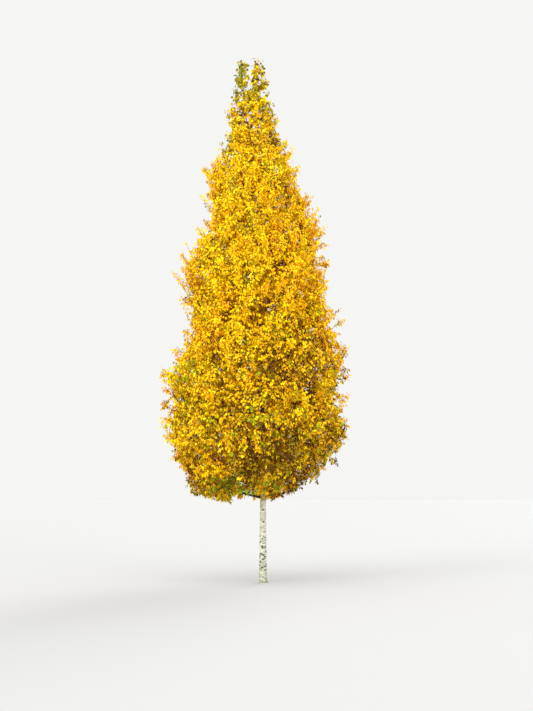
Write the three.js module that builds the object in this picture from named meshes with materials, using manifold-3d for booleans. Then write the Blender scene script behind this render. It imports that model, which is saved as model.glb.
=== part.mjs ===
// A columnar birch in autumn leaf, rooted in level ground: one trunk that runs up through the crown,
// ascending boughs, and masses of foliage that each keep to a space of their own.
// Millimetres, +Z up. The origin is the centre of the flat cut of the trunk at ground level.
// Seen from the front, +X is to the right and +Y is away from the viewer.
import * as THREE from "three";
import { mergeVertices } from "three/addons/utils/BufferGeometryUtils.js";
import Module from "manifold-3d";

const wasm = await Module();
wasm.setup();

// Driving dimensions of the trunk
const CLEAR_STEM = 1520; // height of the lowest bough
const TRUNK_TOP = 9250; // where the trunk becomes the right leading shoot
const TRUNK_FOOT_RADIUS = 73;
const TRUNK_TOP_RADIUS = 8;
const TRUNK_TAPER = 0.7; // under 1, the trunk thins fastest near its foot
const ROOT_FLARE = 17;
const ROOT_FLARE_HEIGHT = 75;
const LEAN = { shift: -225, from: 3900, to: 7200 }; // the trunk drifts to the left over these heights
const LEAN_BACK = { shift: 75, from: 8300, to: 10000 }; // and its tip comes back a little
const BOW = 45; // how far the middle of the trunk stands away from the viewer
const TRUNK_SIDES = 12;
const TRUNK_RINGS = 15;
const RING_CROWDING = 1.8; // rings stand closer together towards the root flare

// The crown: its radius and the sideways place of its axis, by height
const CROWN_FOOT = 1470;
const CROWN_TOP = 10000;
const CROWN_RADIUS = [
  [CROWN_FOOT, 420],
  [1620, 960],
  [2050, 1360],
  [2450, 1680],
  [3200, 1740],
  [3900, 1680],
  [4500, 1500],
  [5800, 1390],
  [7000, 1050],
  [7900, 760],
  [8600, 470],
  [9300, 330],
  [9850, 260],
  [CROWN_TOP, 200],
];
const CROWN_AXIS = [
  [CROWN_FOOT, -380],
  [2200, -180],
  [3000, -120],
  [6500, -110],
  [9000, -200],
  [CROWN_TOP, -265],
];
// Tufts that stand out of the outline, and dents with a negative reach. A side is in degrees from +X.
const TUFTS = [
  { height: 5850, side: 180, reach: 150 },
  { height: 3700, side: 178, reach: 210 },
  { height: 7500, side: 184, reach: 80 },
  { height: 9030, side: 180, reach: 100 },
  { height: 7700, side: 2, reach: 110 },
  { height: 6450, side: 0, reach: 90 },
  { height: 4200, side: -3, reach: 130 },
  { height: 3480, side: 0, reach: -90 },
  { height: 2780, side: 0, reach: 140 },
  { height: 1950, side: 0, reach: -190 },
];
const HIDDEN_TUFTS = 12; // more of them, on the sides that the front view doesn't show in outline
const TUFT_HEIGHT = 330; // how far a tuft spreads up and down
const TUFT_WIDTH = 24; // and how far round the crown, in degrees
const LEADER_GAP = { foot: 9250, side: -285, halfWidth: 62 }; // sky between the two leading shoots

// Masses of foliage, in a rising spiral round the trunk
const GOLDEN_ANGLE = THREE.MathUtils.degToRad(137.508);
const SPIRAL_MASSES = 34;
const SPIRAL_TOP = 9250;
const SPIRAL_START = THREE.MathUtils.degToRad(205);
const BOUGHS = 20; // the lowest masses stand on boughs, and the others on the trunk itself
const MASS_CENTRE = 0.6; // share of the crown's radius at which a space has its centre
const SPACE_SQUEEZE = 0.72; // heights count for less than widths, so the spaces stand upright
const SPACE_GAP = 9; // half of the clearance between two spaces
const GROOVE_DEPTH = 0.05; // the crown is that much narrower where two spaces meet
const GROOVE_WIDTH = 260;

// Limbs. A bough and the stem of its mass lie on one curve.
const BOUGH_END = 0.42; // the share of a limb that is its bough
const STEM_REACH = 0.86; // share of the crown's radius at which the stem of a mass ends
const MASS_RISE = 400; // and how far above the centre of its space
const LIMB_STEEPNESS = 1.15; // rise over run
const LIMB_BEND = { run: 0.6, rise: 0.4 }; // the corner that bends a limb upwards
const FOOT_SPACING = 75; // between the feet of the lowest boughs
const BOUGH_SHARE = 0.42; // of the trunk's radius at its foot
const STEM_TIP_RADIUS = 5;
const LEADERS = [
  { name: "top_left", foot: 8350, top: [-425, 25, 9930], side: 180, boughEnd: 0.45 },
  { name: "top_right", foot: TRUNK_TOP, top: [-140, 10, 9960], side: 0, boughEnd: 0 },
];
const LEADER_BEND = { run: 0.8, rise: 0.35 };
const LEADER_SHARE = 0.8;
const CLEARANCE = 0.3; // between solids that touch on the real tree
const SIMPLE_WITHIN = 0.1; // corners that matter less than that are left out
const BOUGH_SIDES = 5;
const BOUGH_STEPS = 4;
const STEM_SIDES = 3;
const STEM_STEPS = 3;

// Twigs and leaves. On a tree of this size each leaf stands for a spray of leaves.
const SEED = 12;
const TWIGS = 160; // one for each place of an even spread over the whole crown
const TWIG_DEPTH = { least: 0.8, most: 0.93 }; // the share of the crown's radius at which a twig ends
const TWIG_RISE = 0.45; // twigs climb at least that much for their run, where they can
const TWIG_RADIUS = { foot: 7, tip: 3.5 };
const TWIG_SIDES = 3;
const TWIG_CLEAR_OF_STEM = 40; // a twig counts as free of its own stem from there on
const STEM_PLACES = { first: 0.12, last: 0.95, count: 12 }; // where a twig may start, by shares
const LEAF_LENGTH = { least: 150, share: 0.23 }; // the share is of the crown's radius
const LEAF_VARIETY = 0.12;
const LEAF_WIDTH = 0.9; // of its length
const LEAF_SHOULDER = 0.38; // the widest place, as a share of the length
const LEAF_FOLD = 0.07; // how far the edges stand up, as a share of the length
const LEAF_THICKNESS = 0.028;
const LEAVES_ON_TWIG = 4;
const LEAF_ROOT = 8; // how deep the root of the end leaf lies in its twig
const LEAF_SPACING = 0.16; // between leaves along a twig, as a share of the length
const LEAF_TILT = 0.45; // how far a leaf may lean out of the crown's surface
const LEAF_TRIES = 12; // turns that are tried for a leaf, each a little shorter
const LEAF_SHRINK = 0.04;
const LIMB_CLEARANCE = 34; // leaves and twigs stay that far off a limb
const TRUNK_PIECE = 350; // the trunk counts as straight over that height
const STRIDE = 20; // the step of every march through the crown

const { lerp, smoothstep, degToRad, radToDeg, euclideanModulo } = THREE.MathUtils;
const UP = new THREE.Vector3(0, 0, 1);

// Random numbers from 0 to 1, the same ones for the same seed.
function seededRandom(seed) {
  let state = seed >>> 0;
  return () => {
    state = (state + 0x6d2b79f5) >>> 0;
    let mixed = Math.imul(state ^ (state >>> 15), state | 1);
    mixed ^= mixed + Math.imul(mixed ^ (mixed >>> 7), mixed | 61);
    return ((mixed ^ (mixed >>> 14)) >>> 0) / 4294967296;
  };
}

// The value at x in a table of [x, value] rows, on straight lines between them.
function readTable(table, x) {
  const last = table.length - 1;
  if (x <= table[0][0]) return table[0][1];
  if (x >= table[last][0]) return table[last][1];
  const i = table.findIndex((row) => row[0] > x);
  const [x0, y0] = table[i - 1];
  const [x1, y1] = table[i];
  return lerp(y0, y1, (x - x0) / (x1 - x0));
}

// Trunk
function trunkCentre(height) {
  const lean = LEAN.shift * smoothstep(height, LEAN.from, LEAN.to);
  const back = LEAN_BACK.shift * smoothstep(height, LEAN_BACK.from, LEAN_BACK.to);
  return new THREE.Vector3(lean + back, BOW * Math.sin((Math.PI * height) / TRUNK_TOP), height);
}

function trunkRadius(height) {
  const taper = lerp(TRUNK_FOOT_RADIUS, TRUNK_TOP_RADIUS, (height / TRUNK_TOP) ** TRUNK_TAPER);
  return taper + ROOT_FLARE * Math.exp(-height / ROOT_FLARE_HEIGHT);
}

// Level rings on the trunk's line, so that the cut at the ground is flat.
function trunkGeometry(extra = 0) {
  const shape = new THREE.CylinderGeometry(1, 1, 1, TRUNK_SIDES, TRUNK_RINGS);
  const places = shape.getAttribute("position");
  for (let i = 0; i < places.count; i++) {
    const height = TRUNK_TOP * Math.max(0, places.getY(i) + 0.5) ** RING_CROWDING;
    const radius = trunkRadius(height) + extra;
    const centre = trunkCentre(height);
    places.setXYZ(
      i,
      centre.x + radius * places.getX(i),
      centre.y - radius * places.getZ(i),
      height,
    );
  }
  return shape;
}

// Crown
function makeTufts() {
  const random = seededRandom(SEED);
  const tufts = [...TUFTS];
  for (let i = 0; i < HIDDEN_TUFTS; i++) {
    const turn = (i % 2 ? 90 : 270) + 100 * (random() - 0.5);
    const height = lerp(2100, 9000, (i + random()) / HIDDEN_TUFTS);
    tufts.push({ height, side: turn, reach: lerp(-60, 140, random()) });
  }
  return tufts;
}
const tufts = makeTufts();

function crownRadius(height, side) {
  let radius = readTable(CROWN_RADIUS, height);
  for (const tuft of tufts) {
    const up = (height - tuft.height) / TUFT_HEIGHT;
    const round = (euclideanModulo(radToDeg(side) - tuft.side + 180, 360) - 180) / TUFT_WIDTH;
    radius += tuft.reach * Math.exp(-up * up - round * round);
  }
  return radius;
}

// Whether a point lies in the crown, when the crown is drawn in to that share of its radius.
function inCrown(p, share) {
  if (p.z < CROWN_FOOT || p.z > CROWN_TOP) return false;
  const gap = LEADER_GAP.halfWidth * smoothstep(p.z, LEADER_GAP.foot, CROWN_TOP);
  if (p.z > LEADER_GAP.foot && Math.abs(p.x - LEADER_GAP.side) < gap) return false;
  const x = p.x - readTable(CROWN_AXIS, p.z);
  return Math.hypot(x, p.y) < share * crownRadius(p.z, Math.atan2(p.y, x));
}

function leafLength(height) {
  return LEAF_LENGTH.least + LEAF_LENGTH.share * readTable(CROWN_RADIUS, height);
}

// Heights that share out the crown's surface evenly, counted in leaves.
function evenHeights(count, top) {
  const sums = [0];
  for (let z = CROWN_FOOT; z < top; z += STRIDE) {
    const radius = readTable(CROWN_RADIUS, z);
    const slant = Math.hypot(STRIDE, readTable(CROWN_RADIUS, z + STRIDE) - radius);
    sums.push(sums.at(-1) + (radius * slant) / leafLength(z) ** 2);
  }
  return Array.from({ length: count }, (_, i) => {
    const wanted = (sums.at(-1) * (i + 0.5)) / count;
    return CROWN_FOOT + STRIDE * sums.findIndex((sum) => sum >= wanted);
  });
}

// Points of the crown on a share of its radius, towards a side.
function crownPoint(height, side, share) {
  const radius = share * readTable(CROWN_RADIUS, height);
  const x = readTable(CROWN_AXIS, height) + radius * Math.cos(side);
  return new THREE.Vector3(x, radius * Math.sin(side), height);
}

// Layout: each mass hangs on a limb that bends upwards from the trunk to the end of the mass. The limb is
// a bough as far as the place where it enters the mass, and the stem of the mass from there on.
function splitCurve({ v0, v1, v2 }, t) {
  const first = v0.clone().lerp(v1, t);
  const second = v1.clone().lerp(v2, t);
  const middle = first.clone().lerp(second, t);
  return [
    new THREE.QuadraticBezierCurve3(v0, first, middle),
    new THREE.QuadraticBezierCurve3(middle, second, v2),
  ];
}

function limbCurve(foot, end, corner) {
  const bend = new THREE.Vector3().lerpVectors(foot, end, corner.run);
  bend.z = lerp(foot.z, end.z, corner.rise);
  return new THREE.QuadraticBezierCurve3(foot, bend, end);
}

function makeMass({ name, index, side, centre, curve, footRadius, boughEnd, boughName }) {
  if (!boughEnd) return { name, index, side, centre, stem: curve, stemRadius: footRadius };
  const [line, stem] = splitCurve(curve, boughEnd);
  const tipRadius = lerp(footRadius, STEM_TIP_RADIUS, boughEnd);
  const bough = { name: boughName, line, footRadius, tipRadius };
  return { name, index, side, centre, bough, stem, stemRadius: tipRadius };
}

function spiralMass(height, index) {
  const side = SPIRAL_START + index * GOLDEN_ANGLE;
  const name = String(index + 1).padStart(2, "0");
  const centre = crownPoint(height, side, MASS_CENTRE);
  const end = crownPoint(Math.min(height + MASS_RISE, CROWN_TOP), side, STEM_REACH);
  const lowest = CLEAR_STEM + index * FOOT_SPACING;
  const rise = LIMB_STEEPNESS * STEM_REACH * readTable(CROWN_RADIUS, height);
  const foot = trunkCentre(Math.max(end.z - rise, lowest));
  const curve = limbCurve(foot, end, LIMB_BEND);
  const footRadius = BOUGH_SHARE * trunkRadius(foot.z);
  const boughEnd = index < BOUGHS ? BOUGH_END : 0;
  const boughName = `bough_${name}`;
  return makeMass({ name, index, side, centre, curve, footRadius, boughEnd, boughName });
}

function leaderMass({ name, foot, top, side, boughEnd }, i) {
  const start = trunkCentre(foot);
  const end = new THREE.Vector3(...top);
  const curve = limbCurve(start, end, LEADER_BEND);
  return makeMass({
    name,
    index: SPIRAL_MASSES + i,
    side: degToRad(side),
    centre: curve.getPoint((1 + boughEnd) / 2),
    curve,
    footRadius: LEADER_SHARE * trunkRadius(foot),
    boughEnd,
    boughName: `limb_${name}`,
  });
}

const masses = [
  ...evenHeights(SPIRAL_MASSES, SPIRAL_TOP).map(spiralMass),
  ...LEADERS.map(leaderMass),
];

// Spaces: how deep a point lies in the space of its mass, away from the nearest border
function depthInSpace(p, mass) {
  const squeezed = (v) => new THREE.Vector3(v.x, v.y, v.z * SPACE_SQUEEZE);
  const point = squeezed(p);
  const own = squeezed(mass.centre);
  let depth = Infinity;
  for (const other of masses) {
    if (other === mass) continue;
    const centre = squeezed(other.centre);
    const lead = point.distanceToSquared(centre) - point.distanceToSquared(own);
    depth = Math.min(depth, lead / (2 * centre.distanceTo(own)));
  }
  return depth;
}

function inSpace(p, mass) {
  const depth = depthInSpace(p, mass);
  if (depth < SPACE_GAP) return false;
  return inCrown(p, 1 - GROOVE_DEPTH * (1 - Math.min(1, depth / GROOVE_WIDTH)));
}

// Limbs as chains of straight pieces with a radius, for the clearance of twigs and leaves
function limbPieces(curve, owner, footRadius, tipRadius, steps) {
  const points = curve.getSpacedPoints(steps);
  return points.slice(1).map((to, i) => ({
    line: new THREE.Line3(points[i], to),
    radius: lerp(footRadius, tipRadius, i / steps),
    owner,
  }));
}

function allLimbs() {
  const pieces = [];
  for (let z = 0; z < TRUNK_TOP; z += TRUNK_PIECE) {
    const line = new THREE.Line3(trunkCentre(z), trunkCentre(Math.min(z + TRUNK_PIECE, TRUNK_TOP)));
    pieces.push({ line, radius: trunkRadius(z), owner: "trunk" });
  }
  for (const { name, bough, stem, stemRadius } of masses) {
    pieces.push(...limbPieces(stem, name, stemRadius, STEM_TIP_RADIUS, STEM_STEPS));
    if (!bough) continue;
    pieces.push(
      ...limbPieces(bough.line, bough.name, bough.footRadius, bough.tipRadius, BOUGH_STEPS),
    );
  }
  return pieces;
}
const limbs = allLimbs();

// Whether points stay clear of the trunk, of every bough and of the other masses' stems.
function clearOfLimbs(points, mass) {
  const nearest = new THREE.Vector3();
  return limbs.every(
    ({ line, radius, owner }) =>
      owner === mass.name ||
      points.every((p) => {
        line.closestPointToPoint(p, true, nearest);
        return nearest.distanceTo(p) > radius + LIMB_CLEARANCE;
      }),
  );
}

function pointsBetween(from, to) {
  const count = Math.max(2, Math.ceil(from.distanceTo(to) / LIMB_CLEARANCE));
  return Array.from({ length: count + 1 }, (_, i) =>
    new THREE.Vector3().lerpVectors(from, to, i / count),
  );
}

// The rule of growth. Twigs end at places that are spread evenly over the crown in a golden spiral, and each
// starts from the stem of the mass whose space it ends in.
function twigSite(height, index) {
  const random = seededRandom(SEED * 1000 + index);
  const side = index * GOLDEN_ANGLE;
  const share = lerp(TWIG_DEPTH.least, TWIG_DEPTH.most, random());
  const radius = share * crownRadius(height, Math.atan2(Math.sin(side), Math.cos(side)));
  const x = readTable(CROWN_AXIS, height) + radius * Math.cos(side);
  const end = new THREE.Vector3(x, radius * Math.sin(side), height);
  const slope = (readTable(CROWN_RADIUS, height + STRIDE) - readTable(CROWN_RADIUS, height)) / STRIDE;
  const outward = new THREE.Vector3(Math.cos(side), Math.sin(side), -slope).normalize();
  return { end, outward, random };
}

function twigStart(mass, end) {
  const { first, last, count } = STEM_PLACES;
  const places = Array.from({ length: count }, (_, i) =>
    mass.stem.getPointAt(lerp(first, last, i / (count - 1))),
  );
  const run = (p) => Math.hypot(end.x - p.x, end.y - p.y);
  const rising = places.filter((p) => end.z - p.z > TWIG_RISE * run(p));
  const byDistance = (p, q) => p.distanceTo(end) - q.distanceTo(end);
  const choices = [...rising.sort(byDistance), ...places.sort(byDistance)];
  return choices.find((start) => {
    const direction = new THREE.Vector3().subVectors(end, start).normalize();
    const free = start.clone().addScaledVector(direction, TWIG_CLEAR_OF_STEM);
    const staysIn = pointsBetween(start, end).every((p) => depthInSpace(p, mass) > SPACE_GAP);
    return staysIn && clearOfLimbs(pointsBetween(free, end), mass);
  });
}

function growTwigs(mass) {
  const twigs = [];
  for (const { end, outward, random } of evenHeights(TWIGS, CROWN_TOP).map(twigSite)) {
    if (depthInSpace(end, mass) < SPACE_GAP) continue;
    const start = twigStart(mass, end);
    if (start) twigs.push({ start, end, outward, random });
  }
  return twigs;
}

// The leaves of a twig fan out from its end, and lie along the crown's surface.
// A leaf that would cut through a solid of the same mass is turned on.
function growLeaves({ start, end, outward, random, solid: ownTwig }, mass, taken) {
  const direction = new THREE.Vector3().subVectors(end, start).normalize();
  const upward = UP.clone().projectOnPlane(outward).normalize();
  const sideways = new THREE.Vector3().crossVectors(outward, upward);
  const firstTurn = 2 * Math.PI * random();
  for (let i = 0; i < LEAVES_ON_TWIG; i++) {
    const length = leafLength(end.z) * (1 + LEAF_VARIETY * (2 * random() - 1));
    const tilt = LEAF_TILT * random();
    const base = end.clone().addScaledVector(direction, -i * LEAF_SPACING * length - LEAF_ROOT);
    for (let tried = 0; tried < LEAF_TRIES; tried++) {
      const turn = firstTurn + (2 * Math.PI * i) / LEAVES_ON_TWIG + tried * GOLDEN_ANGLE;
      const pointing = outward
        .clone()
        .multiplyScalar(tilt)
        .addScaledVector(upward, Math.cos(turn))
        .addScaledVector(sideways, Math.sin(turn))
        .normalize();
      const leaf = leafPoints(base, pointing, outward, length * (1 - LEAF_SHRINK * tried));
      if (!leafFits(leaf, mass)) continue;
      const solid = toSolid(leafGeometry(leaf));
      if (taken.some((other) => other !== ownTwig && !solid.intersect(other).isEmpty())) continue;
      taken.push(solid);
      break;
    }
  }
}

function leafFits({ base, left, right, tip }, mass) {
  if (![base, left, right, tip].every((p) => inSpace(p, mass))) return false;
  const rim = [
    [base, tip],
    [base, left],
    [base, right],
    [tip, left],
    [tip, right],
    [left, right],
  ];
  return clearOfLimbs(rim.flatMap(([from, to]) => pointsBetween(from, to)), mass);
}

// A pointed leaf, widest a third of the way up and folded along its rib.
function leafPoints(base, direction, outward, length) {
  const across = new THREE.Vector3().crossVectors(direction, outward).normalize();
  const face = new THREE.Vector3().crossVectors(across, direction);
  const at = (sideways, forward, raised) =>
    base
      .clone()
      .addScaledVector(across, sideways * length)
      .addScaledVector(direction, forward * length)
      .addScaledVector(face, raised * length);
  return {
    base,
    left: at(-LEAF_WIDTH / 2, LEAF_SHOULDER, LEAF_FOLD),
    right: at(LEAF_WIDTH / 2, LEAF_SHOULDER, LEAF_FOLD),
    tip: at(0, 1, -LEAF_FOLD),
    upper: at(0, LEAF_SHOULDER, LEAF_THICKNESS / 2),
    lower: at(0, LEAF_SHOULDER, -LEAF_THICKNESS / 2),
  };
}

// Solids
function leafGeometry({ base, left, right, tip, upper, lower }) {
  const rim = [base, right, tip, left];
  const corners = rim.flatMap((p, i) => {
    const next = rim[(i + 1) % rim.length];
    return [p, next, upper, next, p, lower];
  });
  return new THREE.BufferGeometry().setFromPoints(corners);
}

// A cylinder bent along a curve, tapering from its foot to its tip.
function limbGeometry(curve, footRadius, tipRadius, sides, steps) {
  const shape = new THREE.CylinderGeometry(tipRadius, footRadius, 1, sides, steps);
  const frames = curve.computeFrenetFrames(steps, false);
  const places = shape.getAttribute("position");
  for (let i = 0; i < places.count; i++) {
    const step = Math.round((places.getY(i) + 0.5) * steps);
    const place = curve
      .getPointAt(step / steps)
      .addScaledVector(frames.normals[step], places.getX(i))
      .addScaledVector(frames.binormals[step], -places.getZ(i));
    places.setXYZ(i, place.x, place.y, place.z);
  }
  return shape;
}

function toSolid(geometry) {
  const bare = geometry.index ? geometry.toNonIndexed() : geometry.clone();
  bare.deleteAttribute("normal");
  bare.deleteAttribute("uv");
  const merged = mergeVertices(bare, 1e-3);
  const mesh = new wasm.Mesh({
    numProp: 3,
    vertProperties: merged.getAttribute("position").array,
    triVerts: new Uint32Array(merged.index.array),
  });
  return new wasm.Manifold(mesh);
}

// The largest body alone, without needless corners: a loose scrap is dropped, and a sealed hollow is filled.
function tidyBody(solid) {
  const bodies = solid.asOriginal().simplify(SIMPLE_WITHIN).decompose();
  return bodies.reduce((best, body) => (body.volume() > best.volume() ? body : best));
}

function toGeometry(solid) {
  const { vertProperties, triVerts } = solid.getMesh();
  const geometry = new THREE.BufferGeometry();
  geometry.setAttribute("position", new THREE.BufferAttribute(vertProperties, 3));
  geometry.setIndex(new THREE.BufferAttribute(triVerts, 1));
  geometry.computeVertexNormals();
  return geometry;
}

const trunkWithGap = toSolid(trunkGeometry(CLEARANCE));

function boughSolid({ line, footRadius, tipRadius }) {
  const limb = limbGeometry(line, footRadius, tipRadius, BOUGH_SIDES, BOUGH_STEPS);
  return tidyBody(toSolid(limb).subtract(trunkWithGap));
}

function stemSolid({ bough, stem, stemRadius }) {
  const line = stem.clone();
  if (bough) line.v0 = line.v0.clone().addScaledVector(line.getTangent(0), CLEARANCE);
  return toSolid(limbGeometry(line, stemRadius, STEM_TIP_RADIUS, STEM_SIDES, STEM_STEPS));
}

function twigSolid({ start, end }) {
  const line = new THREE.LineCurve3(start, end);
  return toSolid(limbGeometry(line, TWIG_RADIUS.foot, TWIG_RADIUS.tip, TWIG_SIDES, 1));
}

// One solid for each mass: its stem, its twigs with their feet in the stem, and leaves rooted in the twigs.
function massSolid(mass) {
  const twigs = growTwigs(mass).map((twig) => ({ ...twig, solid: twigSolid(twig) }));
  const pieces = [stemSolid(mass), ...twigs.map((twig) => twig.solid)];
  for (const twig of twigs) growLeaves(twig, mass, pieces);
  return tidyBody(wasm.Manifold.union(pieces).subtract(trunkWithGap));
}

// Materials
const bark = new THREE.MeshStandardMaterial({ color: 0xd9d6c8, roughness: 0.75, metalness: 0 });
const boughBark = new THREE.MeshStandardMaterial({ color: 0x5a4632, roughness: 0.8, metalness: 0 });
const leafColours = [0xf2b90f, 0xf7c81a, 0xe8a30c];
const foliage = leafColours.map(
  (color) => new THREE.MeshStandardMaterial({ color, roughness: 0.6, metalness: 0 }),
);

function namedMesh(name, geometry, material) {
  const mesh = new THREE.Mesh(geometry, material);
  mesh.name = name;
  return mesh;
}

const tree = new THREE.Group();
tree.add(namedMesh("trunk", trunkGeometry(), bark));
masses.forEach((mass, i) => {
  if (mass.bough) tree.add(namedMesh(mass.bough.name, toGeometry(boughSolid(mass.bough)), boughBark));
  const colour = foliage[i % foliage.length];
  tree.add(namedMesh(`foliage_${mass.name}`, toGeometry(massSolid(mass)), colour));
});

export default tree;
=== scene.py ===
import math
from collections import namedtuple

import bpy
import numpy as np
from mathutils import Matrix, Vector, kdtree, noise


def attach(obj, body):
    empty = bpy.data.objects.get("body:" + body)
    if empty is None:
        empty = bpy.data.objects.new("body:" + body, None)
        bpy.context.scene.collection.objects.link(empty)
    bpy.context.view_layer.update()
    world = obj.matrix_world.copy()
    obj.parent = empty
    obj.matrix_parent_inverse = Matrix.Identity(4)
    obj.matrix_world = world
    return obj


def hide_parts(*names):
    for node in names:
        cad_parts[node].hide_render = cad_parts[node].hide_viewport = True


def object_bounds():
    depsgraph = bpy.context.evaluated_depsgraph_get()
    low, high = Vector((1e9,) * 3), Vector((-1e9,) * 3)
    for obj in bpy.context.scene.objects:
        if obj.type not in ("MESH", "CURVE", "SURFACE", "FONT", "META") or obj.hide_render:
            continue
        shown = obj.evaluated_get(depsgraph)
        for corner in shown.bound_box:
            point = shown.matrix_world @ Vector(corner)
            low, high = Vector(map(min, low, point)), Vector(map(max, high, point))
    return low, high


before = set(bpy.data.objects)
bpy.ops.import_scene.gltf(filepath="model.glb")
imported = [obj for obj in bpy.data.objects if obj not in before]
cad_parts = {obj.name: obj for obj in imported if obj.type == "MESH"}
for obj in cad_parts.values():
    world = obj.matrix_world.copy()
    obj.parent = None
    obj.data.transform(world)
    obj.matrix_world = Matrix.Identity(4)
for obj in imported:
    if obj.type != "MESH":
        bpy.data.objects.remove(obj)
cad_lowest, cad_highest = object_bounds()

# Trunk
CLEAR_STEM = 1.52  # height of the lowest bough
TRUNK_TOP = 9.25
TRUNK_FOOT_RADIUS = 0.073
TRUNK_TOP_RADIUS = 0.008
TRUNK_TAPER = 0.7
ROOT_FLARE = 0.017
ROOT_FLARE_HEIGHT = 0.075
LEANS = [(-0.225, 3.9, 7.2), (0.075, 8.3, 10.0)]  # to the right, between two heights
BOW = 0.045

# The crown's radius and the place of its axis, by height
CROWN_FOOT = 1.47
CROWN_TOP = 10.0
CROWN_RADIUS = np.array([
    (CROWN_FOOT, 0.42), (1.62, 0.96), (2.05, 1.36), (2.45, 1.68), (3.2, 1.74), (3.9, 1.68), (4.5, 1.5),
    (5.8, 1.39), (7.0, 1.05), (7.9, 0.76), (8.6, 0.47), (9.3, 0.33), (9.85, 0.26), (CROWN_TOP, 0.2),
]).T
CROWN_AXIS = np.array([
    (CROWN_FOOT, -0.38), (2.2, -0.18), (3.0, -0.12), (6.5, -0.11), (9.0, -0.2), (CROWN_TOP, -0.265),
]).T
# Tufts and dents of the outline: height, side in degrees from +X, reach
TUFTS = [
    (5.85, 180, 0.17), (3.5, 178, 0.1), (7.7, 184, 0.11), (9.03, 180, 0.08), (7.5, 2, -0.05),
    (6.45, 0, 0.09), (4.3, -3, 0.12), (3.48, 0, -0.13), (2.78, 0, 0.12), (1.85, 0, 0.1),
    (6.7, 182, -0.25), (4.65, 180, -0.28), (6.12, 0, -0.14), (4.1, 180, -0.06), (1.42, 180, 0.12),
]
HIDDEN_TUFTS = 12  # by turns at the front and at the back
HIDDEN_TUFT_SIDES = (270, 90)
HIDDEN_TUFT_SPREAD = 100
HIDDEN_TUFT_HEIGHTS = (2.1, 9.0)
HIDDEN_TUFT_REACH = (-0.06, 0.14)
TUFT_HEIGHT = 0.33
TUFT_WIDTH = 24  # degrees
LEADER_GAP = {"foot": 9.38, "side": -0.26, "half_width": 0.08}
MOST_SHARE = 9.0  # of the crown's radius, where there is no crown

# Masses of foliage in a rising spiral, and the limbs that carry them
GOLDEN_ANGLE = math.radians(137.508)
CURVE_SAMPLES = 101
SPIRAL_MASSES = 34
SPIRAL_TOP = 9.25
SPIRAL_START = math.radians(205)
BOUGHS = 20
MASS_CENTRE = 0.6
SPACE_SQUEEZE = 0.72
SPACE_GAP = 0.009
GROOVE_DEPTH = 0.06  # the crown is that much narrower where two spaces meet
GROOVE_WIDTH = 0.2
BOUGH_END = 0.42
STEM_REACH = 0.86
MASS_RISE = 0.4
LIMB_STEEPNESS = 1.15
LIMB_BEND = (0.6, 0.4)
FOOT_SPACING = 0.075
BOUGH_SHARE = 0.42
STEM_TIP_RADIUS = 0.005
LEADERS = [
    {"foot": 8.35, "top": (-0.425, 0.025, 9.93), "bough_end": 0.45},
    {"foot": TRUNK_TOP, "top": (-0.14, 0.01, 9.96), "bough_end": 0},
]
LEADER_BEND = (0.8, 0.35)
LEADER_SHARE = 0.8

# Twigs: the first order is the one of the solids, and the second fills the crown between them
SEED = 12
SEED_STEP = 1000
STRIDE = 0.02
TWIGS = 160
TWIG_DEPTH = (0.8, 0.93)
TWIG_RISE = 0.45
TWIG_CLEAR_OF_STEM = 0.04
STEM_PLACES = np.linspace(0.12, 0.95, 12)
SPRAY_LENGTH = {"least": 0.15, "share": 0.23}  # the sprays of the solids, which set how twigs spread
LIMB_CLEARANCE = 0.034
# Straight pieces that stand for the limbs where twigs keep clear of them
TRUNK_PIECE_LENGTH = 0.35
BOUGH_PIECES = 4
STEM_PIECES = 3
FINE_LAYERS = [(960, (0.74, 0.94)), (490, (0.22, 0.74))]  # how many of them end at which depths
FINE_PLACES = np.linspace(0.3, 0.95, 5)  # where one may start on a twig of the first order
SITE_JITTER = 0.04  # of the heights where they end
SITES_BELOW_TOP = 0.05
GAP_PLACES = np.array([0.25, 0.5, 0.75, 1])  # parts of a twig that keep out of the leaders' gap
TWIG_BEND = (0.58, 0.42)
TWIG_RADIUS = (0.009, 0.004)
FINE_RADIUS = (0.008, 0.004)

# Spurs: leafy ends of some outer twigs, which stand out of the outline as tufts
SPUR_SHARE = (0.34, 0.6)  # of the outer twigs, at the foot and at the top of the crown, as the next two
SPUR_LIFT = (0.1, 1.5)
SPUR_REACH = (1.05, 1.18)  # of the crown's radius, as the next
SPURS_FROM = 0.8
SPUR_LENGTH = (0.26, 0.5)
SPUR_OUT = 0.5
SPUR_UNEVENNESS = 0.05
STEM_END = 0.4  # the share of a mass's stem that bears shoots as a twig does
SPUR_RADIUS = (0.0045, 0.002)
SHOOTS_ON_SPUR = 8
SPUR_SHOOT_LENGTH = (0.06, 0.14)
SPUR_EXTRA = 0.15  # how much further their shoots may reach than other shoots

# Shoots, each with a spray of leaves
SHOOTS_ON_TWIG = 9
SHOOT_PLACES = (0.3, 1.0)
PLACE_JITTER = 0.04
SHOOT_LENGTH = (0.14, 0.33)
SHOOT_SPREAD = (20, 65)  # degrees from the twig
SHOOT_LIFT = (0.1, 0.85)  # how much a shoot turns upwards, at the foot and at the top of the crown
SHOOT_SAG = (0.14, -0.05)  # of its length, at the same places
SHOOT_RADIUS = (0.0021, 0.001)
SHOOT_TRIES = (1.0, 0.75, 0.5, 0.3)  # shares of its length
SIZE_EXTRA = 0.2  # they are shorter where the crown's radius and this make less than a metre
SHOOT_LEAST = 0.5  # down to this share, and spurs to the next one
SPUR_LEAST = 0.4
REACH = 0.957  # the share of the crown's radius where most shoots end
TIPS = (9.2, 9.9)  # shoots reach less far out above these heights
TIP_REACH = 0.94
TOP_TWIG = 0.5  # how thick the twigs of the tips are, as a share of those below
TIP_START = 0.5  # of a leader's length, from where it bears leaves of its own
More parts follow.
